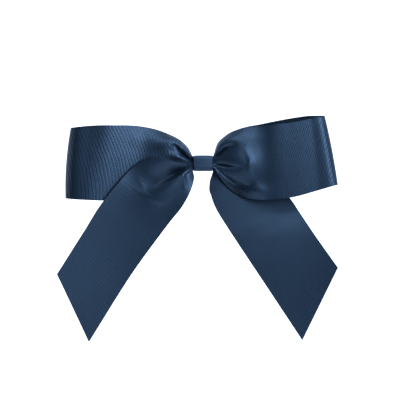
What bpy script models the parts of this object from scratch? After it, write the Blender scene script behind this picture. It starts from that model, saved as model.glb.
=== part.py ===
"""Ribbon hair bow on a sprung metal hair clip.

One length of grosgrain ribbon makes two loops and two tails. Its middle is pinched, cinched with thread and
covered by a narrow ribbon wrap, which also binds the bow to the clip's upper jaw.

Frame: +Z is up as the bow is worn with its tails hanging, its front faces -Y, and +X is on the viewer's right.
The origin lies between the clip's jaws, straight behind the middle of the knot.
Lists of points are in millimetres. A ribbon's stations are pairs of edge points, and it is straight between them.
"""
import math

import bmesh
import bpy
import numpy as np
from mathutils import Matrix, Vector

MM = 0.001

# Ribbon
RIBBON_THICKNESS = 0.6
BEND_GAP = 0.4            # between the two parts of a tail, at the line where it bends
LOOP_COLUMNS = 64
TAIL_COLUMNS = 14
RIBBON_ROWS = 4

# Knot: the wrap's outside, and the pinched ribbon inside it
WRAP_WIDTH = 9.9
WRAP_THICKNESS = 0.5
WRAP_FRONT_Y = -9.6
WRAP_BACK_Y = -1.0
WRAP_HALF_HEIGHT = 4.2
WRAP_OVERLAP = 0.35       # share of a turn by which the wrap's end covers its start
WRAP_STEP_OUT = 0.8       # how far the covering end stands off the start
WRAP_SQUARENESS = 0.5     # power of the superellipse: 1 is an ellipse, near 0 a rectangle
WRAP_COLUMNS = 56
WAIST_CENTRE_Y = -6.25
WAIST_LENGTH = 8.2
WAIST_HALF_DEPTH = 2.05
WAIST_HALF_HEIGHT = 3.3
WAIST_PINCH = 0.78        # the waist's size under the thread, as a share of its size at its ends
WAIST_PLEATS = 9
THREAD_RADIUS = 0.25
THREAD_TURNS = 4
THREAD_PITCH = 0.8
THREAD_STEPS = 18
CLEARANCE = 0.3
GLUE_WIDTH = 7.6
GLUE_HEIGHT = 5.0

# Clip
STEEL = 0.7
UPPER_JAW_Y = -2.45       # middle of the upper jaw's thickness
PIVOT_X = 9.0
PIVOT_Y = 0.9
PIN_RADIUS = 0.8
PIN_HEAD_RADIUS = 1.3
PIN_HEAD_THICKNESS = 0.4
EAR_RADIUS = 2.0
EAR_THICKNESS = 0.6
OUTER_EAR_Z = 3.6         # middle of the lower jaw's ears
INNER_EAR_Z = 2.7         # middle of the upper jaw's ears
LOWER_JAW_HALF_WIDTH = 3.9
SPRING_RADIUS = 1.55
SPRING_WIRE_RADIUS = 0.3
SPRING_PITCH = 0.8
SPRING_TURNS = 3.5
SPRING_STEPS = 12
SPRING_UPPER_LEG = [(17.0, -1.45), (13.0, -1.15)]     # (x, y), from its end to the coil
SPRING_LOWER_LEG = [(13.0, 3.9), (17.0, 5.4)]         # from the coil to its end

# Colours: linear RGB, roughness, metallic
NAVY = ((0.026, 0.052, 0.094), 0.6, 0.0)
THREAD_NAVY = ((0.012, 0.022, 0.045), 0.7, 0.0)
GLUE = ((0.75, 0.72, 0.62), 0.35, 0.0)
STEEL_LOOK = ((0.62, 0.62, 0.63), 0.28, 1.0)
SPRING_STEEL = ((0.42, 0.42, 0.44), 0.35, 1.0)

# (upper edge, lower edge) from the waist along the front, round the end fold and back to the waist
LEFT_LOOP = [
    ((-4.6, -6.25, 2.6), (-4.6, -6.25, -2.6)),
    ((-5.8, -6.5, 2.8), (-5.8, -6.4, -2.8)),
    ((-7.6, -7.8, 7.0), (-7.6, -7.0, -6.0)),
    ((-11.0, -9.8, 11.2), (-12.0, -7.8, -11.0)),
    ((-19.0, -10.0, 15.7), (-20.0, -8.1, -16.0)),
    ((-31.0, -9.8, 19.3), (-32.0, -8.6, -18.8)),
    ((-38.0, -11.6, 20.1), (-39.0, -9.4, -19.5)),
    ((-45.0, -13.8, 20.2), (-46.0, -10.8, -19.8)),
    ((-52.0, -14.8, 19.9), (-53.5, -12.5, -20.0)),
    ((-60.0, -13.8, 19.6), (-62.0, -13.8, -19.7)),
    ((-67.6, -12.0, 19.0), (-70.4, -12.2, -19.2)),
    ((-70.6, -8.4, 18.9), (-73.4, -8.4, -18.8)),
    ((-68.0, -5.4, 19.4), (-70.8, -5.4, -18.6)),
    ((-60.0, -4.6, 20.2), (-62.0, -4.6, -18.8)),
    ((-45.0, -4.5, 20.3), (-46.0, -4.5, -18.6)),
    ((-31.0, -4.6, 19.3), (-32.0, -4.6, -18.0)),
    ((-19.0, -4.7, 15.8), (-20.0, -4.7, -15.6)),
    ((-11.0, -4.8, 11.0), (-12.0, -4.8, -10.6)),
    ((-7.6, -4.9, 6.8), (-7.6, -4.9, -5.8)),
    ((-5.8, -4.9, 2.8), (-5.8, -4.9, -2.8)),
    ((-4.6, -4.9, 2.6), (-4.6, -4.9, -2.6)),
]
RIGHT_LOOP = [
    ((4.6, -7.6, 2.6), (4.6, -7.6, -2.6)),
    ((5.8, -7.9, 2.8), (5.8, -7.8, -2.8)),
    ((7.4, -9.0, 8.4), (7.8, -8.6, -5.8)),
    ((12.0, -10.6, 14.5), (13.4, -9.6, -12.7)),
    ((20.0, -12.0, 18.4), (21.0, -10.6, -17.7)),
    ((31.0, -12.6, 20.0), (33.0, -11.8, -19.7)),
    ((38.0, -13.6, 20.7), (40.0, -13.0, -19.4)),
    ((47.0, -14.0, 21.6), (49.0, -14.0, -18.0)),
    ((57.0, -14.0, 23.6), (61.0, -14.0, -14.7)),
    ((63.4, -13.9, 24.8), (70.3, -13.9, -12.0)),
    ((64.6, -12.8, 25.1), (71.6, -12.8, -11.7)),
    ((64.8, -10.4, 25.3), (71.8, -10.4, -11.6)),
    ((63.0, -7.0, 25.5), (69.8, -7.0, -11.8)),
    ((57.0, -6.2, 25.3), (61.0, -6.2, -14.2)),
    ((45.0, -6.2, 23.6), (47.0, -6.2, -18.0)),
    ((31.0, -6.4, 20.8), (33.0, -6.4, -19.3)),
    ((20.0, -6.6, 18.4), (21.0, -6.6, -17.4)),
    ((12.0, -6.6, 14.0), (13.4, -6.6, -12.4)),
    ((7.6, -6.4, 8.4), (7.8, -6.4, -5.4)),
    ((5.8, -6.25, 2.8), (5.8, -6.25, -2.8)),
    ((4.6, -6.25, 2.6), (4.6, -6.25, -2.6)),
]

# (outer edge, inner edge) from the waist down to the slanted cut; BEND is the station on the bend line
LEFT_TAIL = [
    ((-4.6, -7.6, -0.2), (-4.6, -7.6, -2.4)),
    ((-6.0, -7.8, 0.0), (-6.3, -7.7, -2.6)),
    ((-8.5, -9.8, 0.3), (-6.4, -8.4, -6.0)),
    ((-14.2, -13.2, 0.8), (-6.0, -10.0, -10.0)),
    ((-24.6, -14.8, 3.2), (-6.9, -11.6, -15.4)),
    ((-34.0, -13.8, 0.0), (-10.4, -11.6, -22.1)),
    ((-45.5, -14.2, -11.0), (-17.8, -10.0, -31.6)),
    ((-53.5, -14.4, -20.8), (-23.6, -7.6, -39.2)),
    ((-63.0, -13.8, -35.7), (-36.6, -5.2, -57.0)),
    ((-78.0, -12.8, -59.4), (-61.3, -3.0, -96.0)),
]
RIGHT_TAIL = [
    ((4.6, -4.9, 2.4), (4.6, -4.9, -2.4)),
    ((6.0, -4.9, 2.6), (6.3, -4.9, -2.6)),
    ((9.0, -4.9, 4.6), (6.4, -4.9, -6.0)),
    ((15.0, -4.7, 4.4), (5.4, -5.0, -10.0)),
    ((25.0, -4.5, 0.0), (4.4, -5.6, -16.0)),
    ((38.0, -4.4, -9.5), (7.0, -6.6, -24.4)),
    ((46.5, -5.0, -18.6), (12.6, -7.5, -33.6)),
    ((51.5, -6.6, -26.0), (20.4, -8.0, -45.5)),
    ((58.6, -8.0, -36.6), (31.4, -7.0, -62.0)),
    ((72.2, -9.6, -55.9), (53.3, -3.6, -95.0)),
]
BEND = 7

# Side view of the lower jaw's middle line (x, y), from its tip to the end of its finger tab
LOWER_JAW_PATH = [
    (-22.5, -0.9), (-20.0, -0.6), (-15.0, 1.4), (-9.0, 3.6), (-4.0, 4.1), (8.0, 4.1), (12.0, 4.6), (23.0, 8.6),
]
TOOTH_START = -19.6
TOOTH_PITCH = 1.1
TOOTH_HEIGHT = 0.45
TEETH = 4
# Front view of the upper jaw's upper half (x, z): its round ends are arcs of these half widths
UPPER_JAW_TIP_X = -22.5
UPPER_JAW_TAB_X = 23.0
UPPER_JAW_HALF_WIDTH = 2.7
UPPER_TAB_HALF_WIDTH = 3.9
UPPER_TAB_START_X = 6.5


def clear_scene():
    for obj in list(bpy.data.objects):
        bpy.data.objects.remove(obj, do_unlink=True)


def new_collection(name):
    collection = bpy.data.collections.new(name)
    bpy.context.scene.collection.children.link(collection)
    return collection


def material(name, look):
    colour, roughness, metallic = look
    made = bpy.data.materials.new(name)
    made.use_nodes = True
    shader = made.node_tree.nodes["Principled BSDF"]
    shader.inputs["Base Color"].default_value = (*colour, 1.0)
    shader.inputs["Roughness"].default_value = roughness
    shader.inputs["Metallic"].default_value = metallic
    return made


def mesh_object(name, bm, collection, look):
    """Turn a bmesh whose vertices are in millimetres into an object in metres."""
    bmesh.ops.scale(bm, vec=(MM, MM, MM), verts=bm.verts)
    mesh = bpy.data.meshes.new(name)
    bm.to_mesh(mesh)
    bm.free()
    mesh.shade_smooth()
    mesh.set_sharp_from_angle(angle=math.radians(35))
    obj = bpy.data.objects.new(name, mesh)
    obj.data.materials.append(material(name, look))
    collection.objects.link(obj)
    return obj


def curve_object(name, points, collection, look, closed=False):
    """A POLY spline through points in millimetres."""
    curve = bpy.data.curves.new(name, "CURVE")
    curve.dimensions = "3D"
    spline = curve.splines.new("POLY")
    spline.points.add(len(points) - 1)
    for place, point in zip(spline.points, points):
        place.co = (*(value * MM for value in point), 1.0)
    spline.use_cyclic_u = closed
    obj = bpy.data.objects.new(name, curve)
    obj.data.materials.append(material(name, look))
    collection.objects.link(obj)
    return obj


def wire(name, points, radius, collection, look):
    obj = curve_object(name, points, collection, look)
    obj.data.bevel_depth = radius * MM
    obj.data.bevel_resolution = 2
    obj.data.use_fill_caps = True
    return obj


def plate(name, outline, thickness, placing, collection, look):
    """A flat outline with a thickness, drawn in its own XY plane and put in place by a matrix."""
    obj = curve_object(name, [(x, y, 0.0) for x, y in outline], collection, look, closed=True)
    obj.data.dimensions = "2D"
    obj.data.fill_mode = "BOTH"
    obj.data.extrude = thickness / 2 * MM
    obj.matrix_world = placing
    bpy.context.view_layer.update()
    evaluated = obj.evaluated_get(bpy.context.evaluated_depsgraph_get())
    mesh = bpy.data.meshes.new_from_object(evaluated)
    welded = bmesh.new()
    welded.from_mesh(mesh)
    bmesh.ops.remove_doubles(welded, verts=welded.verts, dist=1e-6)
    bmesh.ops.transform(welded, matrix=placing, verts=welded.verts)
    if placing.determinant() < 0:
        bmesh.ops.reverse_faces(welded, faces=welded.faces)
    welded.to_mesh(mesh)
    welded.free()
    solid = bpy.data.objects.new(name, mesh)
    collection.objects.link(solid)
    bpy.data.objects.remove(obj, do_unlink=True)
    solid.name = name
    return solid


def combine(obj, other, operation):
    """Join other to obj, or cut it away; other stays as a wire-frame helper."""
    other.hide_render = True
    other.display_type = "WIRE"
    modifier = obj.modifiers.new(f"{operation.lower()} {other.name}", "BOOLEAN")
    modifier.operation = operation
    modifier.object = other


def smooth_stations(stations, start, stop, count):
    """Edge points at even steps from start to stop, which are lengths along the ribbon's middle line."""
    edges = np.array(stations).reshape(len(stations), 6)
    middle = (edges[:, :3] + edges[:, 3:]) / 2
    length = np.concatenate([[0.0], np.cumsum(np.linalg.norm(np.diff(middle, axis=0), axis=1))])
    slope = np.gradient(edges, length, axis=0)
    if stop is None:
        stop = length[-1]
    rows = []
    for place in np.linspace(start, stop, count):
        k = min(int(np.searchsorted(length, place, side="right")) - 1, len(length) - 2)
        span = length[k + 1] - length[k]
        t = (place - length[k]) / span
        rows.append(
            (2 * t**3 - 3 * t**2 + 1) * edges[k]
            + (t**3 - 2 * t**2 + t) * span * slope[k]
            + (3 * t**2 - 2 * t**3) * edges[k + 1]
            + (t**3 - t**2) * span * slope[k + 1]
        )
    return np.array(rows)


def length_to(stations, index):
    middle = (np.array(stations)[:, 0] + np.array(stations)[:, 1]) / 2
    return float(np.linalg.norm(np.diff(middle[: index + 1], axis=0), axis=1).sum())


def ribbon(name, stations, columns, collection, start=0.0, stop=None):
    """A grid laid along the stations and given the ribbon's thickness."""
    edges = smooth_stations(stations, start, stop, columns + 1)
    bm = bmesh.new()
    bmesh.ops.create_grid(bm, x_segments=columns, y_segments=RIBBON_ROWS, size=1.0)
    for vert in bm.verts:
        column = round((vert.co.x + 1) / 2 * columns)
        across = (1 - vert.co.y) / 2
        vert.co = Vector(edges[column, :3] * (1 - across) + edges[column, 3:] * across)
    obj = mesh_object(name, bm, collection, NAVY)
    thickness = obj.modifiers.new("cloth thickness", "SOLIDIFY")
    thickness.thickness = RIBBON_THICKNESS * MM
    thickness.offset = 0.0
    return obj


def tail(name, stations, collection):
    """The upper part keeps still; the end turns about the bend line, where an empty holds it."""
    bend = length_to(stations, BEND)
    ribbon(f"{name}_upper", stations, TAIL_COLUMNS, collection, 0.0, bend - BEND_GAP / 2)
    end = ribbon(f"{name}_end", stations, TAIL_COLUMNS, collection, bend + BEND_GAP / 2)
    outer, inner = (Vector(point) * MM for point in stations[BEND])
    hinge = bpy.data.objects.new(f"{name}_bend_axis", None)
    collection.objects.link(hinge)
    hinge.rotation_mode = "QUATERNION"
    hinge.rotation_quaternion = (outer - inner).to_track_quat("Z", "Y")
    hinge.location = (outer + inner) / 2
    bpy.context.view_layer.update()
    end.parent = hinge
    end.matrix_parent_inverse = hinge.matrix_world.inverted()


def waist(collection):
    """The gathered ribbon under the wrap: a pleated bundle, narrowest in the middle."""
    bm = bmesh.new()
    bmesh.ops.create_cone(
        bm, cap_ends=True, segments=WAIST_PLEATS * 4, radius1=1.0, radius2=1.0, depth=WAIST_LENGTH,
        matrix=Matrix.Rotation(math.pi / 2, 4, "Y"),
    )
    long_edges = [e for e in bm.edges if abs(e.verts[0].co.x - e.verts[1].co.x) > WAIST_LENGTH / 2]
    bmesh.ops.subdivide_edges(bm, edges=long_edges, cuts=7)
    for vert in bm.verts:
        towards_end = (2 * vert.co.x / WAIST_LENGTH) ** 2
        pinch = WAIST_PINCH + (1 - WAIST_PINCH) * min(1.0, 1.6 * towards_end)
        angle = math.atan2(vert.co.z, vert.co.y)
        pleat = 1 - 0.05 * towards_end * (1 - math.cos(WAIST_PLEATS * angle))
        vert.co.y = WAIST_CENTRE_Y + vert.co.y * WAIST_HALF_DEPTH * pinch * pleat
        vert.co.z *= WAIST_HALF_HEIGHT * pinch * pleat
    return mesh_object("pinched_waist", bm, collection, NAVY)


def thread(collection):
    standoff = CLEARANCE + THREAD_RADIUS
    half_depth = WAIST_HALF_DEPTH * WAIST_PINCH + standoff
    half_height = WAIST_HALF_HEIGHT * WAIST_PINCH + standoff
    points = []
    for step in range(THREAD_TURNS * THREAD_STEPS + 1):
        angle = 2 * math.pi * step / THREAD_STEPS
        along = THREAD_PITCH * (step / THREAD_STEPS - THREAD_TURNS / 2)
        lift = 1 + 0.03 * (2 * along / (THREAD_TURNS * THREAD_PITCH)) ** 2
        points.append((
            along,
            WAIST_CENTRE_Y + half_depth * lift * math.cos(angle),
            half_height * lift * math.sin(angle),
        ))
    return wire("binding_thread", points, THREAD_RADIUS, collection, THREAD_NAVY)


def wrap(collection):
    """A strip that goes round the waist and the upper jaw and covers its own start at the back."""
    half_depth = (WRAP_BACK_Y - WRAP_FRONT_Y) / 2 - WRAP_THICKNESS / 2
    half_height = WRAP_HALF_HEIGHT - WRAP_THICKNESS / 2
    centre_y = (WRAP_BACK_Y + WRAP_FRONT_Y) / 2
    bm = bmesh.new()
    bmesh.ops.create_grid(bm, x_segments=WRAP_COLUMNS, y_segments=1, size=1.0)
    for vert in bm.verts:
        turn = (vert.co.x + 1) / 2 * (1 + WRAP_OVERLAP) - WRAP_OVERLAP / 2
        angle = 2 * math.pi * turn
        end_share = min(1.0, max(0.0, (turn - 1 + WRAP_OVERLAP) / (WRAP_OVERLAP / 2)))
        out = WRAP_STEP_OUT * end_share
        side = math.cos(angle)
        rise = math.sin(angle)
        vert.co = Vector((
            vert.co.y * WRAP_WIDTH / 2,
            centre_y + (half_depth + out) * math.copysign(abs(side) ** WRAP_SQUARENESS, side),
            (half_height + out * abs(side)) * math.copysign(abs(rise) ** WRAP_SQUARENESS, rise),
        ))
    obj = mesh_object("centre_wrap", bm, collection, NAVY)
    thickness = obj.modifiers.new("cloth thickness", "SOLIDIFY")
    thickness.thickness = WRAP_THICKNESS * MM
    thickness.offset = 0.0
    return obj


def glue_pad(collection):
    front = WAIST_CENTRE_Y + WAIST_HALF_DEPTH * WAIST_PINCH + 2 * (THREAD_RADIUS + CLEARANCE) + 0.1
    back = UPPER_JAW_Y - STEEL / 2 - CLEARANCE
    bm = bmesh.new()
    size = Matrix.Diagonal((GLUE_WIDTH, back - front, GLUE_HEIGHT, 1.0))
    bmesh.ops.create_cube(bm, size=1.0, matrix=Matrix.Translation((0, (front + back) / 2, 0)) @ size)
    obj = mesh_object("glue_pad", bm, collection, GLUE)
    rounding = obj.modifiers.new("rounded edges", "BEVEL")
    rounding.width = 0.15 * MM
    rounding.segments = 2
    return obj


def arc(centre_x, centre_y, radius_x, radius_y, start, stop, steps):
    """Points of an elliptic arc, from start to stop degrees."""
    return [
        (centre_x + radius_x * math.cos(math.radians(a)), centre_y + radius_y * math.sin(math.radians(a)))
        for a in np.linspace(start, stop, steps + 1)
    ]


def side_view(z):
    """Places a plate drawn in x and y, so that it lies across Z at this height."""
    return Matrix.Translation((0, 0, z * MM))


def front_view(y):
    """Places a plate drawn in x and z, so that it faces along Y at this depth."""
    return Matrix.Translation((0, y * MM, 0)) @ Matrix.Rotation(math.pi / 2, 4, "X")


def ear_outline(foot_y):
    """Round about the pivot, with a straight foot down to the jaw at foot_y."""
    if foot_y > PIVOT_Y:
        round_end = arc(PIVOT_X, PIVOT_Y, EAR_RADIUS, EAR_RADIUS, 180, 360, 12)
    else:
        round_end = arc(PIVOT_X, PIVOT_Y, EAR_RADIUS, EAR_RADIUS, 0, 180, 12)
    last, first = round_end[-1], round_end[0]
    return [*round_end, (last[0], foot_y), (first[0], foot_y)]


def add_ears(jaw, name, height, foot_y, cutters):
    for side, z in (("top", height), ("bottom", -height)):
        ear = plate(f"{name}_ear_{side}", ear_outline(foot_y), EAR_THICKNESS, side_view(z), cutters, STEEL_LOOK)
        combine(jaw, ear, "UNION")
    bm = bmesh.new()
    bmesh.ops.create_cone(
        bm, cap_ends=True, segments=24, radius1=PIN_RADIUS + CLEARANCE, radius2=PIN_RADIUS + CLEARANCE, depth=12.0,
        matrix=Matrix.Translation((PIVOT_X, PIVOT_Y, 0)),
    )
    combine(jaw, mesh_object(f"{name}_pin_hole", bm, cutters, STEEL_LOOK), "DIFFERENCE")


def upper_jaw(collection, cutters):
    narrow, wide = UPPER_JAW_HALF_WIDTH, UPPER_TAB_HALF_WIDTH
    tab_round = arc(UPPER_JAW_TAB_X - wide, 0.0, wide, wide, -90, 90, 12)
    tip_round = arc(UPPER_JAW_TIP_X + narrow, 0.0, narrow, narrow * 0.8, 90, 270, 12)
    shoulder = [(UPPER_TAB_START_X + 1.5, wide), (UPPER_TAB_START_X, narrow)]
    outline = [
        *tab_round, *shoulder, (UPPER_JAW_TIP_X + 9.0, narrow),
        *tip_round, (UPPER_JAW_TIP_X + 9.0, -narrow), *((x, -z) for x, z in reversed(shoulder)),
    ]
    jaw = plate("clip_upper_jaw", outline, STEEL, front_view(UPPER_JAW_Y), collection, STEEL_LOOK)
    add_ears(jaw, "upper", INNER_EAR_Z, UPPER_JAW_Y, cutters)
    return jaw


def offset_path(path, distance):
    """The path moved sideways by a distance, towards -Y where it is negative."""
    points = np.array(path)
    steps = np.diff(points, axis=0)
    normals = np.stack([-steps[:, 1], steps[:, 0]], axis=1) / np.linalg.norm(steps, axis=1)[:, None]
    at_points = np.vstack([normals[:1], normals[:-1] + normals[1:], normals[-1:]])
    at_points /= np.linalg.norm(at_points, axis=1)[:, None]
    return [tuple(point) for point in points + distance * at_points]


def lower_jaw(collection, cutters):
    inner = offset_path(LOWER_JAW_PATH, -STEEL / 2)
    outer = offset_path(LOWER_JAW_PATH, STEEL / 2)
    (x0, y0), (x1, y1) = inner[1], inner[2]
    slope = (y1 - y0) / (x1 - x0)
    teeth = []
    for tooth in range(TEETH):
        start = TOOTH_START + tooth * TOOTH_PITCH
        for step, height in ((0.0, 0.0), (0.35, TOOTH_HEIGHT), (0.95, 0.0)):
            x = start + step * TOOTH_PITCH
            teeth.append((x, y0 + slope * (x - x0) - height))
    outline = [*inner[:2], *teeth, *inner[2:], *reversed(outer)]
    jaw = plate("clip_lower_jaw", outline, 2 * LOWER_JAW_HALF_WIDTH, side_view(0.0), collection, STEEL_LOOK)
    add_ears(jaw, "lower", OUTER_EAR_Z, LOWER_JAW_PATH[5][1], cutters)
    return jaw


def set_origin(obj, place):
    """Move an object's origin to a place in millimetres, and leave its shape where it is."""
    shift = Vector(place) * MM
    obj.data.transform(Matrix.Translation(-shift))
    obj.location = shift


def pin(collection):
    neck = OUTER_EAR_Z + EAR_THICKNESS / 2 + CLEARANCE
    end = neck + PIN_HEAD_THICKNESS
    profile = [
        (0.0, end), (PIN_HEAD_RADIUS - 0.15, end), (PIN_HEAD_RADIUS, end - 0.15), (PIN_HEAD_RADIUS, neck),
        (PIN_RADIUS, neck),
    ]
    profile += [(radius, -z) for radius, z in reversed(profile)]
    bm = bmesh.new()
    verts = [bm.verts.new((radius, 0.0, z)) for radius, z in profile]
    for first, second in zip(verts, verts[1:]):
        bm.edges.new((first, second))
    obj = mesh_object("clip_pin", bm, collection, STEEL_LOOK)
    obj.location = (PIVOT_X * MM, PIVOT_Y * MM, 0.0)
    turning = obj.modifiers.new("turned", "SCREW")
    turning.steps = 24
    turning.render_steps = 24
    turning.use_merge_vertices = True
    turning.merge_threshold = 1e-6
    return obj


def spring(collection):
    """A torsion spring: one leg under each finger tab, and a coil about the pin between them."""
    height = SPRING_TURNS * SPRING_PITCH / 2
    count = int(SPRING_TURNS * SPRING_STEPS)
    points = [(x, y, height) for x, y in SPRING_UPPER_LEG]
    for step in range(count + 1):
        angle = -math.pi / 2 - 2 * math.pi * step / SPRING_STEPS
        points.append((
            PIVOT_X + SPRING_RADIUS * math.cos(angle),
            PIVOT_Y + SPRING_RADIUS * math.sin(angle),
            height - 2 * height * step / count,
        ))
    points += [(x, y, -height) for x, y in SPRING_LOWER_LEG]
    return wire("clip_spring", points, SPRING_WIRE_RADIUS, collection, SPRING_STEEL)


def build():
    clear_scene()
    parts = new_collection("hair_bow")
    cutters = new_collection("hair_bow_cutters")
    ribbon("left_loop", LEFT_LOOP, LOOP_COLUMNS, parts)
    ribbon("right_loop", RIGHT_LOOP, LOOP_COLUMNS, parts)
    tail("left_tail", LEFT_TAIL, parts)
    tail("right_tail", RIGHT_TAIL, parts)
    waist(parts)
    thread(parts)
    wrap(parts)
    glue_pad(parts)
    upper_jaw(parts, cutters)
    set_origin(lower_jaw(parts, cutters), (PIVOT_X, PIVOT_Y, 0.0))
    pin(parts)
    spring(parts)


build()
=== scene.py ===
"""Looks of the ribbon hair bow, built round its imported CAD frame.

The ribbon panels are grids laid between the two edges of the ribbon and then shaped by creases and swells.
Those are given where they lie as the front is seen: x to the right and z up, in millimetres, with heights
towards the viewer.
"""

import math

import bmesh
import bpy
import numpy as np
from mathutils import Matrix, Vector


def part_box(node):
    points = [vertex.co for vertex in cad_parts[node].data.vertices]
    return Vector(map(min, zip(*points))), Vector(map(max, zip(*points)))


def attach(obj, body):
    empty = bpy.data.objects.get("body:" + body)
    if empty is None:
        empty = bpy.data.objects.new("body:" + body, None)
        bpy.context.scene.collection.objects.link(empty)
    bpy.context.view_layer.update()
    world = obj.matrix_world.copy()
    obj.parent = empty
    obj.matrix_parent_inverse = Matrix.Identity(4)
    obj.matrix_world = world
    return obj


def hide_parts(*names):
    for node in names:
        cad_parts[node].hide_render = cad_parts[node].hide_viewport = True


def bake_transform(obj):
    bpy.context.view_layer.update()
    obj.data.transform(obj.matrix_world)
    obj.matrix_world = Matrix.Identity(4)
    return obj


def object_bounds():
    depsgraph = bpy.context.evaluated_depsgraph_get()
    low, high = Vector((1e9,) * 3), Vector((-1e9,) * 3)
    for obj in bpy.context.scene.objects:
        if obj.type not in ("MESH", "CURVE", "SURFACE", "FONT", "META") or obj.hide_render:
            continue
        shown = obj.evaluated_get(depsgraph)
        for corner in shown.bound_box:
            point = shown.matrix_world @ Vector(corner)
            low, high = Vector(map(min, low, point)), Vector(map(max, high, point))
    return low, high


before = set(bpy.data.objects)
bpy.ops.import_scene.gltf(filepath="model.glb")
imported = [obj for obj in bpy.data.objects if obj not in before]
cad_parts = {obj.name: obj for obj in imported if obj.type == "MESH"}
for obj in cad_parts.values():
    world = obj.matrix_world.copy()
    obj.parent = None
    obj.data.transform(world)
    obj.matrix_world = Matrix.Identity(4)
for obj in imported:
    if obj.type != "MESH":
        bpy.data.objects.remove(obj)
cad_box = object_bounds()

MM = 0.001

# Sizes are in millimetres, unless a comment says otherwise, and colours are linear RGB

# Ribbon
RIBBON_WIDTH = 38.0
RIBBON_THICKNESS = 0.45
RIB_PITCH = 0.95
THREAD_LINE_PITCH = 0.34  # of the fine threads along the ribbon
NAVY_DARK = (0.0045, 0.0105, 0.023)
NAVY_LIGHT = (0.0105, 0.0235, 0.050)
RIBBON_ROUGHNESS = 0.43
RIM_SHADE = 0.35          # colour along the ribbon's edges and cut ends, as a share of the dark navy
PLEAT_SHADE = 0.8         # painted shade: how much darker the colour is at the bottom of a pleat, from 0 to 1
PLEAT_DEPTHS = (0.6, 2.6) # where that shade starts and where it is full
CELL = 0.6                # size of a ribbon grid's cells along the ribbon
ROWS = 60                 # cells across the ribbon

# Where along a panel its shaping comes and goes, from the waist unless a comment says otherwise
ROOT_LENGTH = 4.0         # creases start from nothing over this length
CROWN_GROWS = (4.0, 16.0)
ROLL_FADES = (14.0, 36.0)
LIP_GROWS = (4.0, 12.0)   # past the end fold
LIP_FADES = (28.0, 10.0)  # before the back panel's end
FOLD_STARTS = (6.0, 1.0)  # before the end fold, where a panel stops being shaped
FOLD_BULGE_LENGTH = 14.0
ROLL_SHARE = 0.1          # of the ribbon's width
LIP_SHARE = 0.05          # of the ribbon's width
REAR_SOFTNESS = 0.35      # how softly a panel's front is kept ahead of its back

# Flat lengths in metres
LEFT_LOOP_LENGTH = 0.142
RIGHT_LOOP_LENGTH = 0.138

# Centre wrap
WRAP_RIBBON_WIDTH = 9.9
WRAP_RIBBON_THICKNESS = 0.4
WRAP_COLUMNS = 220
WRAP_ROWS = 20
WRAP_OVERLAP = 0.28       # share of a turn that the wrap covers twice
WRAP_STEP_OUT = 0.8       # how far the second layer lies over the first
WRAP_SQUARENESS = 0.42    # 1 is an ellipse, less is squarer
WRAP_HALF_DEPTH = 4.05
WRAP_CENTRE_Y = -5.3
WRAP_INSET = 0.25         # from the top of the CAD wrap to the middle of the ribbon
WRAP_CROWN = 0.25         # how far the middle of its width stands out, front and back
WRAP_EDGE_DIP = 0.12      # how far its edges sink at the top and bottom

# Waist, thread and glue
WAIST_SECTIONS = 48
WAIST_SIDES = 144
WAIST_PLEATS = 9
WAIST_PINCH = 0.78        # the waist's middle as a share of its ends
THREAD_RADIUS = 0.25
THREAD_TURNS = 4
THREAD_PITCH = 0.8
THREAD_STEPS = 72
THREAD_TWISTS = 9         # twists of the plies in one turn
PLY_SHARE = 0.44          # a ply's radius as a share of the thread's
THREAD_NAVY = (0.012, 0.022, 0.045)
GLUE_CUTS = 15
GLUE_CREAM = (0.74, 0.71, 0.62)

# Clip and spring
STEEL = (0.5, 0.5, 0.51)
SPRING_STEEL = (0.42, 0.42, 0.44)
PIVOT_X = 9.0
PIVOT_Y = 0.9
SPRING_RADIUS = 1.55
SPRING_WIRE_RADIUS = 0.3
SPRING_TURNS = 3.5
SPRING_PITCH = 0.8
SPRING_STEPS = 36
SPRING_UPPER_LEG = [(17.0, -1.45), (13.0, -1.15)]     # (x, y), from its end to the coil
SPRING_LOWER_LEG = [(13.0, 3.9), (17.0, 5.4)]         # from the coil to its end

# (upper edge, lower edge) from the waist along the front, round the end fold and back to the waist
LEFT_LOOP = [
    ((-4.6, -6.25, 2.9), (-4.6, -6.25, -2.6)),
    ((-5.8, -6.8, 4.0), (-5.8, -6.4, -2.8)),
    ((-7.4, -8.4, 7.2), (-7.6, -7.0, -6.0)),
    ((-11.0, -9.4, 11.2), (-12.0, -7.6, -11.0)),
    ((-19.0, -9.4, 15.7), (-20.0, -7.9, -16.0)),
    ((-31.0, -9.2, 19.3), (-32.0, -8.2, -18.8)),
    ((-38.0, -11.4, 20.1), (-39.0, -9.2, -19.5)),
    ((-45.0, -13.8, 20.2), (-46.0, -10.4, -19.8)),
    ((-52.0, -14.8, 19.9), (-53.5, -12.5, -20.0)),
    ((-60.0, -13.8, 19.6), (-62.0, -13.8, -19.7)),
    ((-67.6, -12.0, 19.0), (-70.4, -12.2, -19.2)),
    ((-70.6, -8.4, 18.9), (-73.4, -8.4, -18.8)),
    ((-68.0, -5.4, 19.4), (-70.8, -5.4, -18.6)),
    ((-60.0, -4.6, 20.2), (-62.0, -4.6, -18.8)),
    ((-45.0, -4.5, 20.3), (-46.0, -4.5, -18.6)),
    ((-31.0, -4.6, 19.3), (-32.0, -4.6, -18.0)),
    ((-19.0, -4.7, 15.8), (-20.0, -4.7, -15.6)),
    ((-11.0, -4.8, 11.0), (-12.0, -4.8, -10.6)),
    ((-7.6, -4.9, 6.8), (-7.6, -4.9, -5.8)),
    ((-5.8, -4.9, 2.8), (-5.8, -4.9, -2.8)),
    ((-4.6, -4.9, 2.6), (-4.6, -4.9, -2.6)),
]
LEFT_LOOP_FOLD = 11
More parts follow.
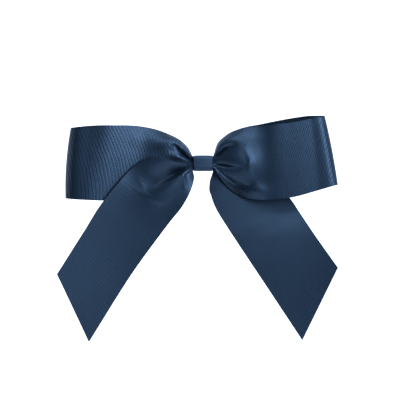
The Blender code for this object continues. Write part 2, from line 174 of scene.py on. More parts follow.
RIGHT_LOOP = [
    ((4.6, -7.6, 2.9), (4.6, -7.6, -2.6)),
    ((5.8, -8.0, 4.4), (5.8, -7.8, -2.8)),
    ((7.2, -8.8, 9.0), (7.8, -8.4, -5.8)),
    ((12.0, -9.6, 14.5), (13.4, -9.2, -12.7)),
    ((20.0, -10.6, 18.4), (21.0, -9.8, -17.7)),
    ((31.0, -11.6, 20.0), (33.0, -11.4, -19.7)),
    ((38.0, -13.4, 20.7), (40.0, -13.0, -19.4)),
    ((47.0, -13.8, 21.6), (49.0, -13.8, -18.0)),
    ((57.0, -13.8, 23.6), (61.0, -13.8, -14.7)),
    ((63.4, -13.5, 24.8), (70.3, -13.5, -12.0)),
    ((64.6, -12.5, 25.1), (71.6, -12.5, -11.7)),
    ((64.8, -10.4, 25.3), (71.8, -10.4, -11.6)),
    ((63.0, -7.0, 25.5), (69.8, -7.0, -11.8)),
    ((57.0, -6.2, 25.3), (61.0, -6.2, -14.2)),
    ((45.0, -6.2, 23.6), (47.0, -6.2, -18.0)),
    ((31.0, -6.4, 20.8), (33.0, -6.4, -19.3)),
    ((20.0, -6.6, 18.4), (21.0, -6.6, -17.4)),
    ((12.0, -6.6, 14.0), (13.4, -6.6, -12.4)),
    ((7.6, -6.4, 8.4), (7.8, -6.4, -5.4)),
    ((5.8, -6.25, 2.8), (5.8, -6.25, -2.8)),
    ((4.6, -6.25, 2.6), (4.6, -6.25, -2.6)),
]
RIGHT_LOOP_FOLD = 11
# (outer edge, inner edge) from the waist down to the slanted cut
LEFT_TAIL = [
    ((-4.6, -7.8, 0.2), (-4.6, -7.8, -2.6)),
    ((-6.0, -8.4, 0.3), (-5.5, -8.0, -3.8)),
    ((-9.5, -10.6, 0.2), (-4.9, -8.8, -7.0)),
    ((-15.6, -12.4, 0.8), (-5.3, -10.2, -10.6)),
    ((-24.6, -13.1, 3.3), (-6.9, -11.3, -15.4)),
    ((-34.0, -11.8, 0.0), (-10.4, -11.6, -22.1)),
    ((-45.5, -14.0, -11.0), (-17.8, -9.8, -31.6)),
    ((-53.5, -14.4, -20.8), (-23.6, -7.6, -39.2)),
    ((-63.0, -13.8, -35.7), (-36.6, -4.8, -57.0)),
    ((-78.0, -12.8, -59.4), (-61.3, -2.2, -96.0)),
]
RIGHT_TAIL = [
    ((4.6, -4.9, 2.6), (4.6, -4.9, -2.8)),
    ((6.0, -4.9, 2.8), (5.3, -4.9, -3.3)),
    ((8.4, -4.9, 3.8), (5.2, -4.9, -5.0)),
    ((11.0, -4.9, 4.6), (4.0, -5.0, -8.4)),
    ((15.0, -4.7, 4.4), (3.4, -5.4, -12.6)),
    ((25.0, -4.5, 0.0), (4.4, -6.2, -17.6)),
    ((38.0, -4.4, -9.5), (7.0, -6.6, -24.4)),
    ((46.5, -5.0, -18.6), (12.6, -7.5, -33.6)),
    ((51.5, -6.6, -26.0), (20.4, -8.0, -45.5)),
    ((58.6, -8.0, -36.6), (31.4, -7.0, -62.0)),
    ((72.2, -9.6, -55.9), (53.3, -3.6, -95.0)),
]

# Creases: each one's profile, its lean, and (x, z, height, half width) at points along it
LEFT_LOOP_CREASES = [
    ("ridge", 1.0, [
        (-40.0, 14.0, 0.1, 4.0), (-30.0, 11.8, 1.2, 5.4), (-22.0, 11.0, 2.4, 4.8), (-16.0, 10.9, 3.2, 4.0),
        (-11.0, 7.8, 3.0, 2.9), (-7.5, 4.6, 1.4, 1.8),
    ]),
    ("groove", 1.0, [
        (-17.6, 10.4, 0.1, 1.2), (-14.6, 8.8, 2.2, 1.2), (-11.0, 5.4, 3.2, 1.2), (-8.0, 2.6, 2.8, 0.9),
        (-5.4, 0.5, 1.0, 0.7),
    ]),
    ("ridge", 1.0, [
        (-20.0, 5.4, 0.2, 2.4), (-12.5, 3.2, 1.6, 1.6), (-8.0, 1.2, 1.4, 1.0), (-5.4, 0.1, 0.4, 0.6),
    ]),
    ("valley", 1.0, [
        (-36.0, -15.0, 0.4, 6.0), (-25.0, -10.6, 2.2, 6.0), (-16.0, -7.4, 2.6, 4.6), (-9.5, -4.2, 1.2, 2.6),
        (-5.4, -2.0, 0.1, 1.0),
    ]),
]
RIGHT_LOOP_CREASES = [
    ("ridge", 1.0, [
        (34.0, 15.0, 0.1, 4.0), (22.0, 13.4, 1.4, 4.4), (14.0, 11.8, 2.6, 3.6), (9.0, 7.6, 2.4, 2.4),
        (5.8, 4.2, 0.6, 1.2),
    ]),
    ("groove", 1.0, [
        (18.0, 10.4, 0.1, 1.6), (13.9, 8.9, 1.8, 1.4), (11.2, 7.4, 3.2, 1.3), (8.0, 4.8, 3.0, 1.1),
        (5.4, 2.4, 0.8, 0.7),
    ]),
    ("groove", 1.0, [
        (22.0, -2.8, 0.1, 1.4), (17.0, -2.1, 1.4, 1.3), (12.0, -1.3, 2.8, 1.1), (8.0, -0.7, 2.4, 0.9),
        (5.4, -0.3, 0.8, 0.6),
    ]),
    ("groove", 1.0, [
        (28.5, -12.2, 0.1, 1.2), (24.4, -12.3, 1.0, 1.1), (20.0, -11.6, 1.9, 1.1), (15.0, -9.4, 2.1, 1.1),
        (10.0, -5.2, 1.8, 0.9), (5.4, -0.9, 0.6, 0.6),
    ]),
    ("ridge", 1.0, [
        (22.5, 7.5, 0.1, 1.4), (25.2, 2.0, 0.6, 1.5), (24.6, -3.5, 0.7, 1.5), (26.4, -9.5, 0.1, 1.5),
    ]),
    ("valley", 1.0, [
        (31.0, -20.4, 0.4, 3.0), (22.0, -18.0, 2.4, 5.6), (14.6, -13.0, 2.8, 4.6), (8.0, -6.4, 1.2, 2.2),
    ]),
]
LEFT_TAIL_CREASES = [
    ("valley", 2.4, [
        (-32.0, -13.4, 0.2, 3.2), (-25.0, -10.4, 1.8, 2.9), (-19.0, -7.8, 3.0, 2.5), (-14.0, -5.4, 3.6, 2.0),
        (-9.5, -3.2, 2.0, 1.4), (-5.0, -1.3, 0.4, 0.9),
    ]),
    ("groove", 1.4, [
        (-24.0, -9.6, 0.1, 1.6), (-18.0, -7.2, 0.8, 1.6), (-11.0, -3.7, 1.1, 1.1), (-5.0, -1.2, 0.5, 0.7),
    ]),
    ("ridge", 1.0, [
        (-23.0, -13.2, 0.1, 2.6), (-16.0, -9.8, 0.9, 2.2), (-10.5, -5.6, 1.0, 1.4), (-5.0, -2.2, 0.4, 0.7),
    ]),
    ("ridge", 1.0, [(-10.2, -6.6, 0.5, 1.0), (-9.8, -13.5, 0.3, 1.2)]),
    ("groove", 1.0, [(-9.4, -6.1, 1.2, 0.8), (-5.0, -3.8, 0.6, 0.6)]),
    ("ridge", 1.0, [(-36.0, -13.8, 0.1, 1.4), (-26.2, -19.6, 0.3, 1.4), (-21.0, -21.0, 0.1, 1.4)]),
]
RIGHT_TAIL_CREASES = [
    ("ridge", 1.0, [(5.6, -2.6, 0.5, 1.0), (7.5, -6.9, 0.4, 1.2)]),
]

# Swells: (x, z, half length, half width, angle in degrees, height)
LEFT_LOOP_SWELLS = [
    (-25.0, 3.0, 10.0, 6.0, 0.0, 1.3),
]
RIGHT_LOOP_SWELLS = [
    (20.0, 1.0, 11.0, 9.5, 0.0, 3.2),
    (28.0, -15.0, 7.0, 4.0, 0.0, 1.8),
]
LEFT_TAIL_SWELLS = [
    (-18.0, 0.0, 16.0, 15.0, 0.0, 5.0),
    (-22.0, -16.5, 8.0, 6.0, 40.0, 1.4),
]
RIGHT_TAIL_SWELLS = [
    (27.0, -38.0, 30.0, 8.0, 20.0, 1.6),
]

# Light and camera, in metres and watts; a lens and its sensor are in millimetres
LENS = 300.0
SENSOR = 36.0
FRAME_WIDTH = 0.2141      # what the camera sees across, at the bow
AIM = Vector((-0.0016, -0.008, -0.0197))
CLIP_NEAR = 0.05
CLIP_FAR = 10.0
KEY_PLACE = (0.6, -0.85, 0.26)
KEY_SIZE = (0.35, 0.8)
KEY_POWER = 10.8
TOP_PLACE = (0.1, -0.5, 0.75)
TOP_SIZE = (0.9, 0.35)
TOP_POWER = 5.0
BACKDROP_COLOUR = (0.86, 0.95, 1.08, 1.0)
ROOM_LEVEL = 0.05
BACKDROP_LEVEL = 1.7
SEEN_LEVEL = 1.3
FLOOR_GAP = 0.16          # below the bow's lowest point
FLOOR_SIZE = 0.6


# ---------------------------------------------------------------- geometry helpers


def smooth_stations(stations, cell):
    """Edge points at even steps along the ribbon's middle line, and the length at each of them."""
    edges = np.array(stations).reshape(len(stations), 6)
    middle = (edges[:, :3] + edges[:, 3:]) / 2
    length = np.concatenate([[0.0], np.cumsum(np.linalg.norm(np.diff(middle, axis=0), axis=1))])
    slope = np.gradient(edges, length, axis=0)
    places = np.linspace(0.0, length[-1], int(length[-1] / cell) + 1)
    k = np.clip(np.searchsorted(length, places, side="right") - 1, 0, len(length) - 2)
    span = (length[k + 1] - length[k])[:, None]
    t = (places - length[k])[:, None] / span
    rows = (
        (2 * t**3 - 3 * t**2 + 1) * edges[k]
        + (t**3 - 2 * t**2 + t) * span * slope[k]
        + (3 * t**2 - 2 * t**3) * edges[k + 1]
        + (t**3 - t**2) * span * slope[k + 1]
    )
    return rows, places, length


def smoothstep(value, low, high):
    t = np.clip((value - low) / (high - low), 0.0, 1.0)
    return t * t * (3 - 2 * t)


def densify(points, steps=10):
    """A crease's points, joined by a Catmull-Rom curve."""
    p = np.array(points, float)
    padded = np.vstack([2 * p[0] - p[1], p, 2 * p[-1] - p[-2]])
    rows = []
    for k in range(1, len(padded) - 2):
        a, b, c, d = padded[k - 1 : k + 3]
        for t in np.linspace(0, 1, steps, endpoint=False):
            square = (2 * a - 5 * b + 4 * c - d) * t**2
            cube = (3 * b - a - 3 * c + d) * t**3
            rows.append(0.5 * (2 * b + (c - a) * t + square + cube))
    rows.append(p[-1])
    return np.array(rows)


def crease_height(x, z, kind, lean, points):
    """Height of a crease; its profile is lean times as wide on the left of its direction of travel."""
    curve = densify(points)
    best = np.full(x.shape, 1e9)
    height = np.zeros(x.shape)
    width = np.ones(x.shape)
    spread = np.ones(x.shape)
    for start, end in zip(curve, curve[1:]):
        run = end[:2] - start[:2]
        share = np.clip(((x - start[0]) * run[0] + (z - start[1]) * run[1]) / (run @ run), 0.0, 1.0)
        away_x = x - start[0] - share * run[0]
        away_z = z - start[1] - share * run[1]
        away = np.hypot(away_x, away_z)
        nearer = away < best
        best = np.where(nearer, away, best)
        left = run[0] * away_z - run[1] * away_x > 0
        spread = np.where(nearer, np.where(left, lean, 1.0), spread)
        height = np.where(nearer, start[2] + share * (end[2] - start[2]), height)
        width = np.where(nearer, start[3] + share * (end[3] - start[3]), width)
    width *= spread
    if kind == "groove":
        return -height * np.exp(-best / width)
    rounded = height * np.exp(-((best / width) ** 2))
    return -rounded if kind == "valley" else rounded


def swell_height(x, z, swell):
    centre_x, centre_z, long, wide, angle, height = swell
    turn = math.radians(angle)
    u = (x - centre_x) * math.cos(turn) + (z - centre_z) * math.sin(turn)
    v = -(x - centre_x) * math.sin(turn) + (z - centre_z) * math.cos(turn)
    return height * np.exp(-((u / long) ** 2) - (v / wide) ** 2)


def relief(x, z, creases, swells):
    total = np.zeros(x.shape)
    for kind, lean, points in creases:
        total += crease_height(x, z, kind, lean, points)
    for swell in swells:
        total += swell_height(x, z, swell)
    return total


def mesh_object(name, bm, look):
    """The object made from a bmesh, with its material."""
    mesh = bpy.data.meshes.new(name)
    bm.to_mesh(mesh)
    bm.free()
    obj = bpy.data.objects.new(name, mesh)
    bpy.context.scene.collection.objects.link(obj)
    mesh.materials.append(look)
    return obj


def grid_object(name, points, uv_points, thickness, look, edge_and_painted_pleat_shade):
    """A cloth of this thickness on a grid of points, with its flat coordinates as a UV map.

    This attribute says how dark each point is, from 0 to 1: darker edges, and painted shade at the bottoms
    of pleats.
    """
    count_s, count_t = points.shape[:2]
    bm = bmesh.new()
    bmesh.ops.create_grid(bm, x_segments=count_s - 1, y_segments=count_t - 1, size=1.0)
    bm.verts.ensure_lookup_table()
    uv_layer = bm.loops.layers.uv.new("ribbon")
    # How dark each point is: darker edges, and painted shade at the bottoms of pleats
    edge_and_shade_layer = bm.verts.layers.float.new("edge_and_painted_pleat_shade")
    place = {}
    for vert in bm.verts:
        i = round((vert.co.x + 1) / 2 * (count_s - 1))
        j = round((1 - vert.co.y) / 2 * (count_t - 1))
        place[vert.index] = (i, j)
        vert.co = Vector(points[i, j]) * MM
        vert[edge_and_shade_layer] = float(edge_and_painted_pleat_shade[i, j])
    for face in bm.faces:
        for loop in face.loops:
            loop[uv_layer].uv = uv_points[place[loop.vert.index]] * MM
    obj = mesh_object(name, bm, look)
    solid = obj.modifiers.new("cloth thickness", "SOLIDIFY")
    solid.thickness = thickness * MM
    solid.offset = 0.0
    apply_modifiers(obj)
    obj.data.shade_smooth()
    obj.data.set_sharp_from_angle(angle=math.radians(60))
    return obj


def apply_modifiers(obj):
    bpy.context.view_layer.update()
    evaluated = obj.evaluated_get(bpy.context.evaluated_depsgraph_get())
    mesh = bpy.data.meshes.new_from_object(evaluated)
    obj.modifiers.clear()
    obj.data = mesh


# ---------------------------------------------------------------- materials


def new_material(name):
    made = bpy.data.materials.new(name)
    made.use_nodes = True
    return made, made.node_tree.nodes, made.node_tree.links


def math_node(nodes, links, operation, first, second=None, third=None):
    node = nodes.new("ShaderNodeMath")
    node.operation = operation
    for socket, value in zip(node.inputs, (first, second, third)):
        if isinstance(value, (int, float)):
            socket.default_value = value
        elif value is not None:
            links.new(value, socket)
    return node.outputs[0]


def noise(nodes, links, vector, scale, detail):
    made = nodes.new("ShaderNodeTexNoise")
    made.inputs["Scale"].default_value = scale
    made.inputs["Detail"].default_value = detail
    links.new(vector, made.inputs["Vector"])
    return made.outputs[0]


def mix(nodes, links, factor, first, second):
    """A mix of two colours; the first one may be another node's output."""
    made = nodes.new("ShaderNodeMix")
    made.data_type = "RGBA"
    links.new(factor, made.inputs[0])
    if isinstance(first, bpy.types.NodeSocket):
        links.new(first, made.inputs[6])
    else:
        made.inputs[6].default_value = (*first, 1.0)
    made.inputs[7].default_value = (*second, 1.0)
    return made.outputs[2]


def bump(nodes, links, shader, height, strength, distance):
    made = nodes.new("ShaderNodeBump")
    made.inputs["Strength"].default_value = strength
    made.inputs["Distance"].default_value = distance
    links.new(height, made.inputs["Height"])
    links.new(made.outputs[0], shader.inputs["Normal"])


def darker(colour, share):
    return tuple(share * value for value in colour)


def rib_height(nodes, links, along, across, drift, pitch, bend, skew, width):
    """Rounded ribs across the ribbon, every other one stronger, leaning as bend and skew say."""
    share = math_node(nodes, links, "DIVIDE", across, width * MM)
    up = math_node(nodes, links, "SUBTRACT", 1.0, share)
    squared = math_node(nodes, links, "MULTIPLY", up, up)
    leaning = math_node(nodes, links, "MULTIPLY_ADD", squared, -bend * width * MM, along)
    leaning = math_node(nodes, links, "MULTIPLY_ADD", up, -skew * width * MM, leaning)
    leaning = math_node(nodes, links, "ADD", leaning, drift)
    turns = math_node(nodes, links, "MULTIPLY", leaning, math.pi / (pitch * MM))
    wave = math_node(nodes, links, "ABSOLUTE", math_node(nodes, links, "SINE", turns))
    rib = math_node(nodes, links, "POWER", wave, 0.7)
    every_other = math_node(nodes, links, "COSINE", turns)
    strength = math_node(nodes, links, "MULTIPLY_ADD", every_other, 0.5, 0.5)
    return math_node(nodes, links, "MULTIPLY", rib, strength)


def ribbon_material(
    name, dark, pitch=RIB_PITCH, bend=0.0, skew=0.0, width=RIBBON_WIDTH, depth=0.03, matt=0.0
):
    """Grosgrain: ribs across it, threads along it, darker edges, painted shade in pleats and rib grooves, a
    tinted sheen.
    """
    made, nodes, links = new_material(name)
    shader = nodes["Principled BSDF"]
    uv = nodes.new("ShaderNodeUVMap")
    uv.uv_map = "ribbon"
    split = nodes.new("ShaderNodeSeparateXYZ")
    links.new(uv.outputs[0], split.inputs[0])
    along, across = split.outputs[0], split.outputs[1]

    wander = noise(nodes, links, uv.outputs[0], 140.0, 1.0)
    drift = math_node(nodes, links, "MULTIPLY_ADD", wander, 0.0009, -0.00045)
    rib = rib_height(nodes, links, along, across, drift, pitch, bend, skew, width)
    threads = math_node(nodes, links, "MULTIPLY", across, math.pi / (THREAD_LINE_PITCH * MM))
    threads = math_node(nodes, links, "ABSOLUTE", math_node(nodes, links, "SINE", threads))
    height = math_node(nodes, links, "MULTIPLY_ADD", threads, 0.16, rib)
    bump(nodes, links, shader, height, 1.0, depth * MM)

    # Colour: a random cloud of dye tone, plus painted shade between the ribs
    cloud = noise(nodes, links, uv.outputs[0], 45.0, 3.0)
    tone_and_rib_shade = math_node(nodes, links, "MULTIPLY_ADD", cloud, 0.3, -0.15)
    # painted shade: rib tops lighter, the grooves between them darker
    tone_and_rib_shade = math_node(nodes, links, "MULTIPLY_ADD", rib, 0.2, tone_and_rib_shade)
    tone_and_rib_shade = math_node(nodes, links, "ADD", tone_and_rib_shade, 0.2)
    cloth = mix(nodes, links, tone_and_rib_shade, dark, NAVY_LIGHT)
    # Darker edges, and painted shade at the bottoms of pleats, read from the panel's attribute
    edge_and_painted_pleat_shade = nodes.new("ShaderNodeAttribute")
    edge_and_painted_pleat_shade.attribute_name = "edge_and_painted_pleat_shade"
    edged_and_shaded = mix(nodes, links, edge_and_painted_pleat_shade.outputs["Fac"], cloth, darker(dark, RIM_SHADE))
    links.new(edged_and_shaded, shader.inputs["Base Color"])
    rough = math_node(nodes, links, "MULTIPLY_ADD", rib, -0.08, RIBBON_ROUGHNESS + matt)
    rough = math_node(nodes, links, "MULTIPLY_ADD", cloud, 0.06, rough)
    links.new(rough, shader.inputs["Roughness"])
    shader.inputs["Specular IOR Level"].default_value = 1.0
    shader.inputs["Specular Tint"].default_value = (0.30, 0.56, 1.0, 1.0)
    shader.inputs["Sheen Weight"].default_value = 0.06
    shader.inputs["Sheen Roughness"].default_value = 0.35
    shader.inputs["Sheen Tint"].default_value = (0.55, 0.75, 1.0, 1.0)
    return made


def steel_material(name, colour, roughness, streak_scale):
    """Plated and brushed steel: fine streaks along X in the roughness and the bump, and a little tarnish."""
    made, nodes, links = new_material(name)
    shader = nodes["Principled BSDF"]
    coordinates = nodes.new("ShaderNodeTexCoord")
    stretch = nodes.new("ShaderNodeMapping")
    stretch.inputs["Scale"].default_value = streak_scale
    links.new(coordinates.outputs["Object"], stretch.inputs["Vector"])
    streaks = noise(nodes, links, stretch.outputs[0], 1.0, 4.0)
    tarnish = noise(nodes, links, coordinates.outputs["Object"], 260.0, 2.0)
    rough = math_node(nodes, links, "MULTIPLY_ADD", streaks, 0.2, roughness - 0.1)
    links.new(rough, shader.inputs["Roughness"])
    plated = mix(nodes, links, tarnish, darker(colour, 0.8), colour)
    links.new(plated, shader.inputs["Base Color"])
    bump(nodes, links, shader, streaks, 0.35, 0.00001)
    shader.inputs["Metallic"].default_value = 1.0
    return made


def plain_material(name, colour, roughness, scale, depth):
    """A matt surface with a fine grain in its colour, roughness and bump."""
    made, nodes, links = new_material(name)
    shader = nodes["Principled BSDF"]
    coordinates = nodes.new("ShaderNodeTexCoord")
    grain = noise(nodes, links, coordinates.outputs["Object"], scale, 3.0)
    grained = mix(nodes, links, grain, darker(colour, 0.75), colour)
    links.new(grained, shader.inputs["Base Color"])
    rough = math_node(nodes, links, "MULTIPLY_ADD", grain, 0.15, roughness)
    links.new(rough, shader.inputs["Roughness"])
    bump(nodes, links, shader, grain, 0.5, depth)
    return made


# ---------------------------------------------------------------- ribbon pieces


def rim_of(count_s, count_t, cut_end=False):
    edge_and_painted_pleat_shade = np.zeros((count_s, count_t))
    edge_and_painted_pleat_shade[:, [0, -1]] = 1.0
    if cut_end:
        edge_and_painted_pleat_shade[-1, :] = 1.0
    return edge_and_painted_pleat_shade


def panel(
    name, stations, creases, swells, look,
    fold=None, bulge=0.0, crown=0.8, roll=0.0, lip=0.0, rear=None, cut_end=False,
):
    """A ribbon laid along its stations and shaped by its creases and swells.

    The end fold is at station number fold and its middle stands out by bulge; past it the ribbon stays
    plain, apart from a lip that brings its upper edge forward. The crown is how far the middle of the
    width stands forward, and roll how far the upper edge turns back near the knot. The front stays
    ahead of the plane y = rear.
    """
    edges, places, lengths = smooth_stations(stations, CELL)
    across = np.linspace(0.0, 1.0, ROWS + 1)[None, :]
    upper_edge, lower_edge = edges[:, None, :3], edges[:, None, 3:]
    points = upper_edge * (1 - across[..., None]) + lower_edge * across[..., None]
    x, z = points[..., 0], points[..., 2]
    arch = 1 - (2 * across - 1) ** 2
    front = np.ones((len(places), 1))
    if fold is not None:
        fold_at = lengths[fold]
        front[:, 0] = 1 - smoothstep(places, fold_at - FOLD_STARTS[0], fold_at - FOLD_STARTS[1])
        near_fold = np.exp(-(((places - fold_at) / FOLD_BULGE_LENGTH) ** 2))
        points[..., 0] += bulge * near_fold[:, None] * arch
    shape = relief(x, z, creases, swells) * smoothstep(places, 0.0, ROOT_LENGTH)[:, None]
    shape += crown * smoothstep(places, *CROWN_GROWS)[:, None] * arch
    if roll:
        near_knot = 1 - smoothstep(places, *ROLL_FADES)
        shape -= roll * near_knot[:, None] * np.exp(-across / ROLL_SHARE)
    points[..., 1] -= shape * front
    if rear is not None:
        ahead = (rear - points[..., 1]) / REAR_SOFTNESS
        kept = rear - REAR_SOFTNESS * np.logaddexp(0.0, ahead)
        points[..., 1] = kept * front + points[..., 1] * (1 - front)
    if lip:
        back = smoothstep(places, fold_at + LIP_GROWS[0], fold_at + LIP_GROWS[1])
        back *= 1 - smoothstep(places, places[-1] - LIP_FADES[0], places[-1] - LIP_FADES[1])
        points[..., 1] -= lip * back[:, None] * np.exp(-across / LIP_SHARE)
    uv = np.stack(np.meshgrid(places, across[0] * RIBBON_WIDTH, indexing="ij"), axis=-1)
    # Painted shade: the colour darkens towards the bottoms of grooves and valleys, as deep as they go
    hollow_shade = -relief(x, z, [crease for crease in creases if crease[0] != "ridge"], [])
    hollow_shade = PLEAT_SHADE * smoothstep(hollow_shade, *PLEAT_DEPTHS) * front
    edge_and_painted_pleat_shade = np.maximum(rim_of(len(places), ROWS + 1, cut_end), hollow_shade)
    return grid_object(name, points, uv, RIBBON_THICKNESS, look, edge_and_painted_pleat_shade)


def loops():
    left = panel(
        "left_loop_ribbon", LEFT_LOOP, LEFT_LOOP_CREASES, LEFT_LOOP_SWELLS,
        ribbon_material("left_loop_grosgrain", NAVY_DARK, pitch=0.9, bend=0.3, depth=0.075),
        fold=LEFT_LOOP_FOLD, bulge=-1.0, roll=3.0, rear=-5.6,
    )
    right = panel(
        "right_loop_ribbon", RIGHT_LOOP, RIGHT_LOOP_CREASES, RIGHT_LOOP_SWELLS,
        ribbon_material("right_loop_grosgrain", NAVY_DARK, pitch=0.7, skew=0.5, depth=0.06),
        fold=RIGHT_LOOP_FOLD, bulge=0.5, roll=2.2, lip=1.6, rear=-7.3,
    )
    for obj, side, length in ((left, "left", LEFT_LOOP_LENGTH), (right, "right", RIGHT_LOOP_LENGTH)):
        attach(obj, "bow")
        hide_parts(f"{side}_loop")


def tail_piece(side, stations, creases, swells, crown):
    """One tail, a single ribbon from the waist down to its slanted cut, in place of the CAD tail's upper
    part and end.
    """
    look = ribbon_material(f"{side}_tail_grosgrain", NAVY_DARK)
    obj = panel(f"{side}_tail_ribbon", stations, creases, swells, look, crown=crown, cut_end=True)
    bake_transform(obj)
    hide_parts(f"{side}_tail_upper", f"{side}_tail_end")


def tails():
    tail_piece(
        "left", LEFT_TAIL, LEFT_TAIL_CREASES, LEFT_TAIL_SWELLS, -0.9,
    )
    tail_piece(
        "right", RIGHT_TAIL, RIGHT_TAIL_CREASES, RIGHT_TAIL_SWELLS, 0.4,
    )


def wrap():
    """A narrow ribbon round the knot and the clip's upper jaw, which covers its own start at the back."""
    half_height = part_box("centre_wrap")[1][2] / MM - WRAP_INSET
    turn = np.linspace(-WRAP_OVERLAP / 2, 1 + WRAP_OVERLAP / 2, WRAP_COLUMNS + 1)[:, None]
    across = np.linspace(0.0, 1.0, WRAP_ROWS + 1)[None, :]
    angle = 2 * np.pi * turn
    out = WRAP_STEP_OUT * np.clip((turn - 1 + WRAP_OVERLAP) / (WRAP_OVERLAP / 2), 0.0, 1.0)
    side, rise = np.cos(angle), np.sin(angle)
    from_middle = (2 * across - 1) ** 2
    depth = (WRAP_HALF_DEPTH + out) * np.sign(side) * np.abs(side) ** WRAP_SQUARENESS
    height = (half_height + out * np.abs(side)) * np.sign(rise) * np.abs(rise) ** WRAP_SQUARENESS
    points = np.stack([
        (0.5 - across) * WRAP_RIBBON_WIDTH + 0 * turn,
        WRAP_CENTRE_Y + depth + WRAP_CROWN * (1 - from_middle) * side,
        height - WRAP_EDGE_DIP * np.sign(rise) * from_middle * np.abs(rise),
    ], axis=-1)
    steps = np.linalg.norm(np.diff(points[:, 0], axis=0), axis=1)
    length = np.concatenate([[0.0], np.cumsum(steps)])
    uv = np.stack(np.meshgrid(length, across[0] * WRAP_RIBBON_WIDTH, indexing="ij"), axis=-1)
    look = ribbon_material(
        "wrap_grosgrain", darker(NAVY_LIGHT, 0.7), pitch=1.1, width=WRAP_RIBBON_WIDTH, matt=0.12
    )
    edge_and_painted_pleat_shade = rim_of(WRAP_COLUMNS + 1, WRAP_ROWS + 1)
    obj = grid_object("centre_wrap_ribbon", points, uv, WRAP_RIBBON_THICKNESS, look, edge_and_painted_pleat_shade)
    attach(obj, "bow")
    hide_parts("centre_wrap")


def middle_and_half(node):
    """The middle of a node's box and half its size."""
    low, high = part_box(node)
    return (low + high) / 2, (high - low) / 2


def waist():
    """The gathered middle of the ribbon: pleats run through it and it is narrowest under the thread."""
    centre, half = middle_and_half("pinched_waist")
    bm = bmesh.new()
    bmesh.ops.create_cone(
        bm, cap_ends=True, segments=WAIST_SIDES, radius1=1.0, radius2=1.0, depth=2.0,
        matrix=Matrix.Rotation(math.pi / 2, 4, "Y"),
    )
    long_edges = [e for e in bm.edges if abs(e.verts[0].co.x - e.verts[1].co.x) > 1.0]
    bmesh.ops.subdivide_edges(bm, edges=long_edges, cuts=WAIST_SECTIONS)
    for vert in bm.verts:
        towards_end = vert.co.x**2
        pinch = WAIST_PINCH + (1 - WAIST_PINCH) * min(1.0, 1.6 * towards_end)
        angle = math.atan2(vert.co.z, vert.co.y)
        pleat = 1 - (0.03 + 0.05 * towards_end) * (1 - math.cos(WAIST_PLEATS * angle + 0.6 * vert.co.x))
        vert.co = Vector((
            centre.x + vert.co.x * half.x,
            centre.y + vert.co.y * half.y * pinch * pleat,
            centre.z + vert.co.z * half.z * pinch * pleat,
        ))
    look = plain_material("gathered_grosgrain", NAVY_LIGHT, 0.6, 2500.0, 0.0001)
    obj = mesh_object("gathered_waist", bm, look)
    obj.data.shade_smooth()
    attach(obj, "bow")
    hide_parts("pinched_waist")


def tube(name, points, radius, look, resolution):
    """A round wire or thread along these points, as a mesh."""
    curve = bpy.data.curves.new(name, "CURVE")
    curve.dimensions = "3D"
    spline = curve.splines.new("POLY")
    spline.points.add(len(points) - 1)
    for place, point in zip(spline.points, points):
        place.co = (*(value * MM for value in point), 1.0)
    curve.bevel_depth = radius * MM
    curve.bevel_resolution = resolution
    curve.use_fill_caps = True
    curve.materials.append(look)
    swept = bpy.data.objects.new(name, curve)
    bpy.context.scene.collection.objects.link(swept)
    bpy.context.view_layer.update()
    evaluated = swept.evaluated_get(bpy.context.evaluated_depsgraph_get())
    mesh = bpy.data.meshes.new_from_object(evaluated)
    bpy.data.objects.remove(swept, do_unlink=True)
    obj = bpy.data.objects.new(name, mesh)
    bpy.context.scene.collection.objects.link(obj)
    mesh.shade_smooth()
    return obj


def ply_points(phase):
    """One ply's path: a twist round the thread's own path, which winds round the waist."""
    centre, half = middle_and_half("binding_thread")
    centre, half = centre / MM, half / MM
    points = []
    for step in range(THREAD_TURNS * THREAD_STEPS + 1):
        angle = 2 * math.pi * step / THREAD_STEPS
        along = THREAD_PITCH * (step / THREAD_STEPS - THREAD_TURNS / 2)
        twist = angle * THREAD_TWISTS + phase
        reach = 0.5 * THREAD_RADIUS * math.cos(twist) - THREAD_RADIUS
        points.append((
            centre[0] + along + 0.5 * THREAD_RADIUS * math.sin(twist),
            centre[1] + (half[1] + reach) * math.cos(angle),
            centre[2] + (half[2] + reach) * math.sin(angle),
        ))
    return points


def thread():
    """Two plies twisted round each other, wound round the waist."""
    look = plain_material("thread_polyester", THREAD_NAVY, 0.55, 4000.0, 0.00002)
    for number, phase in ((1, 0.0), (2, math.pi)):
        obj = tube(f"thread_ply_{number}", ply_points(phase), PLY_SHARE * THREAD_RADIUS, look, 2)
        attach(obj, "bow")
        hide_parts("binding_thread")


def glue():
    """A pressed dab of hot-melt glue: a rounded block with an uneven edge."""
    centre, half = middle_and_half("glue_pad")
    bm = bmesh.new()
    bmesh.ops.create_cube(bm, size=2.0)
    bmesh.ops.subdivide_edges(bm, edges=bm.edges[:], cuts=GLUE_CUTS, use_grid_fill=True)
    for vert in bm.verts:
        x, y, z = vert.co
        round_off = 1 - 0.16 * (abs(x) ** 6) * (abs(z) ** 2) - 0.1 * (abs(z) ** 6)
        flat = 1 - 0.2 * max(abs(x), abs(z)) ** 8
        ripple = 1 - 0.02 * (1 + math.sin(5 * x + 3 * z)) - 0.02 * (1 + math.cos(7 * z - 2 * x))
        vert.co = Vector((
            centre.x + x * half.x * round_off * ripple,
            centre.y + y * half.y * flat,
            centre.z + z * half.z * round_off * ripple,
        ))
    look = plain_material("hot_melt_glue", GLUE_CREAM, 0.25, 500.0, 0.00005)
    obj = mesh_object("glue_dab", bm, look)
    obj.data.shade_smooth()
    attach(obj, "bow")
    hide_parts("glue_pad")


def clip():
    look = steel_material("plated_steel", STEEL, 0.26, (60.0, 2500.0, 2500.0))
    for node in ("clip_upper_jaw", "clip_lower_jaw", "clip_pin"):
        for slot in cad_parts[node].material_slots:
            slot.material = look


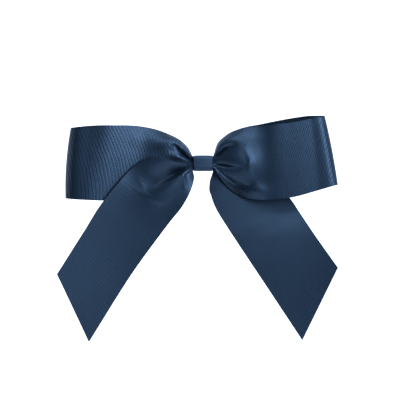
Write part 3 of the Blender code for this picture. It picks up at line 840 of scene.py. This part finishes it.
def spring():
    """A torsion spring about the pin: its legs lie under the two finger tabs."""
    half_height = SPRING_TURNS * SPRING_PITCH / 2
    count = int(SPRING_TURNS * SPRING_STEPS)
    points = [(x, y, half_height) for x, y in SPRING_UPPER_LEG]
    for step in range(count + 1):
        angle = -math.pi / 2 - 2 * math.pi * step / SPRING_STEPS
        points.append((
            PIVOT_X + SPRING_RADIUS * math.cos(angle),
            PIVOT_Y + SPRING_RADIUS * math.sin(angle),
            half_height * (1 - 2 * step / count),
        ))
    points += [(x, y, -half_height) for x, y in SPRING_LOWER_LEG]
    look = steel_material("spring_wire", SPRING_STEEL, 0.32, (900.0, 900.0, 900.0))
    obj = tube("torsion_spring", points, SPRING_WIRE_RADIUS, look, 4)
    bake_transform(obj)
    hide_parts("clip_spring")


# ---------------------------------------------------------------- stage


def camera():
    data = bpy.data.cameras.new("camera")
    data.lens = LENS
    data.sensor_width = SENSOR
    obj = bpy.data.objects.new("camera", data)
    bpy.context.scene.collection.objects.link(obj)
    distance = FRAME_WIDTH / 2 / (SENSOR / 2 / LENS)
    obj.location = AIM + Vector((0.0, -distance, 0.0))
    obj.rotation_euler = (math.pi / 2, 0.0, 0.0)
    data.clip_start = CLIP_NEAR
    data.clip_end = CLIP_FAR
    bpy.context.scene.camera = obj


def softbox(name, place, size, power):
    data = bpy.data.lights.new(name, "AREA")
    data.shape = "RECTANGLE"
    data.size, data.size_y = size
    data.energy = power
    obj = bpy.data.objects.new(name, data)
    bpy.context.scene.collection.objects.link(obj)
    obj.location = place
    obj.rotation_euler = (AIM - Vector(place)).to_track_quat("-Z", "Y").to_euler()


def surroundings():
    """A dim room whose far side, behind the bow, is a bright backdrop; the camera sees it pale all over."""
    world = bpy.data.worlds.new("studio")
    world.use_nodes = True
    nodes, links = world.node_tree.nodes, world.node_tree.links
    background = nodes["Background"]
    background.inputs["Color"].default_value = BACKDROP_COLOUR
    direction = nodes.new("ShaderNodeTexCoord")
    split = nodes.new("ShaderNodeSeparateXYZ")
    links.new(direction.outputs["Generated"], split.inputs[0])
    backdrop = nodes.new("ShaderNodeMapRange")
    backdrop.interpolation_type = "SMOOTHSTEP"
    backdrop.inputs["From Min"].default_value = 0.1
    backdrop.inputs["From Max"].default_value = 0.55
    backdrop.inputs["To Min"].default_value = ROOM_LEVEL
    backdrop.inputs["To Max"].default_value = BACKDROP_LEVEL
    links.new(split.outputs[1], backdrop.inputs["Value"])
    rays = nodes.new("ShaderNodeLightPath")
    camera_level = math_node(nodes, links, "MULTIPLY", rays.outputs["Is Camera Ray"], SEEN_LEVEL)
    level = math_node(nodes, links, "MAXIMUM", camera_level, backdrop.outputs[0])
    links.new(level, background.inputs["Strength"])
    bpy.context.scene.world = world


def floor():
    bm = bmesh.new()
    bmesh.ops.create_grid(bm, x_segments=8, y_segments=8, size=FLOOR_SIZE / 2)
    look, nodes, _ = new_material("pale_floor")
    shader = nodes["Principled BSDF"]
    shader.inputs["Base Color"].default_value = (0.86, 0.86, 0.86, 1.0)
    shader.inputs["Roughness"].default_value = 0.7
    obj = mesh_object("floor", bm, look)
    obj.location = (0.0, 0.0, cad_box[0][2] - FLOOR_GAP)


camera()
loops()
tails()
wrap()
waist()
thread()
glue()
clip()
spring()
softbox("key_softbox", KEY_PLACE, KEY_SIZE, KEY_POWER)
softbox("top_softbox", TOP_PLACE, TOP_SIZE, TOP_POWER)
surroundings()
floor()
bpy.context.scene.view_settings.view_transform = "Standard"
